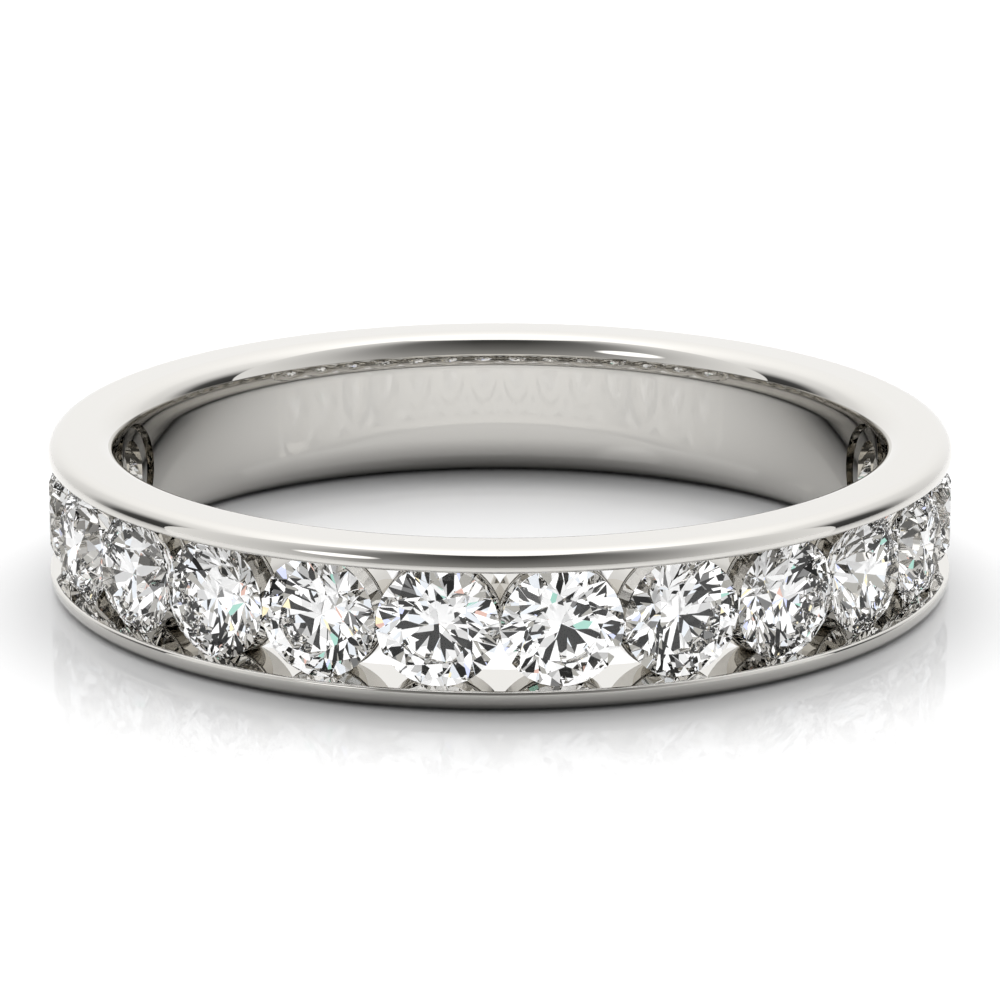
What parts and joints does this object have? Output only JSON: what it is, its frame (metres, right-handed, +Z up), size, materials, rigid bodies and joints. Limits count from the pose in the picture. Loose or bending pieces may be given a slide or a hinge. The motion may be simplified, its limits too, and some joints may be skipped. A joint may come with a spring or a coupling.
{
  "type": "channel-set wedding ring",
  "caption": "White metal ring lying on its side, with a row of round brilliant cut stones held between two plain rails across its front half.",
  "frame": {"origin": "centre of the finger hole, in the plane that the ring lies on", "axes": "+Z up, along the finger; -Y out through the middle of the row of stones; +X to the right when the row faces you"},
  "size_m": [0.0205, 0.0204, 0.0035],
  "materials": {
    "white_gold": "mirror polish on rhodium-plated white gold",
    "diamond": "polished facets"
  },
  "bodies": {
    "root": {"band": "white_gold", "stone_01": "diamond", "stone_02": "diamond", "stone_03": "diamond", "stone_04": "diamond", "stone_05": "diamond", "stone_06": "diamond", "stone_07": "diamond", "stone_08": "diamond", "stone_09": "diamond", "stone_10": "diamond", "stone_11": "diamond", "stone_12": "diamond", "stone_13": "diamond", "stone_14": "diamond"}
  },
  "joints": []
}
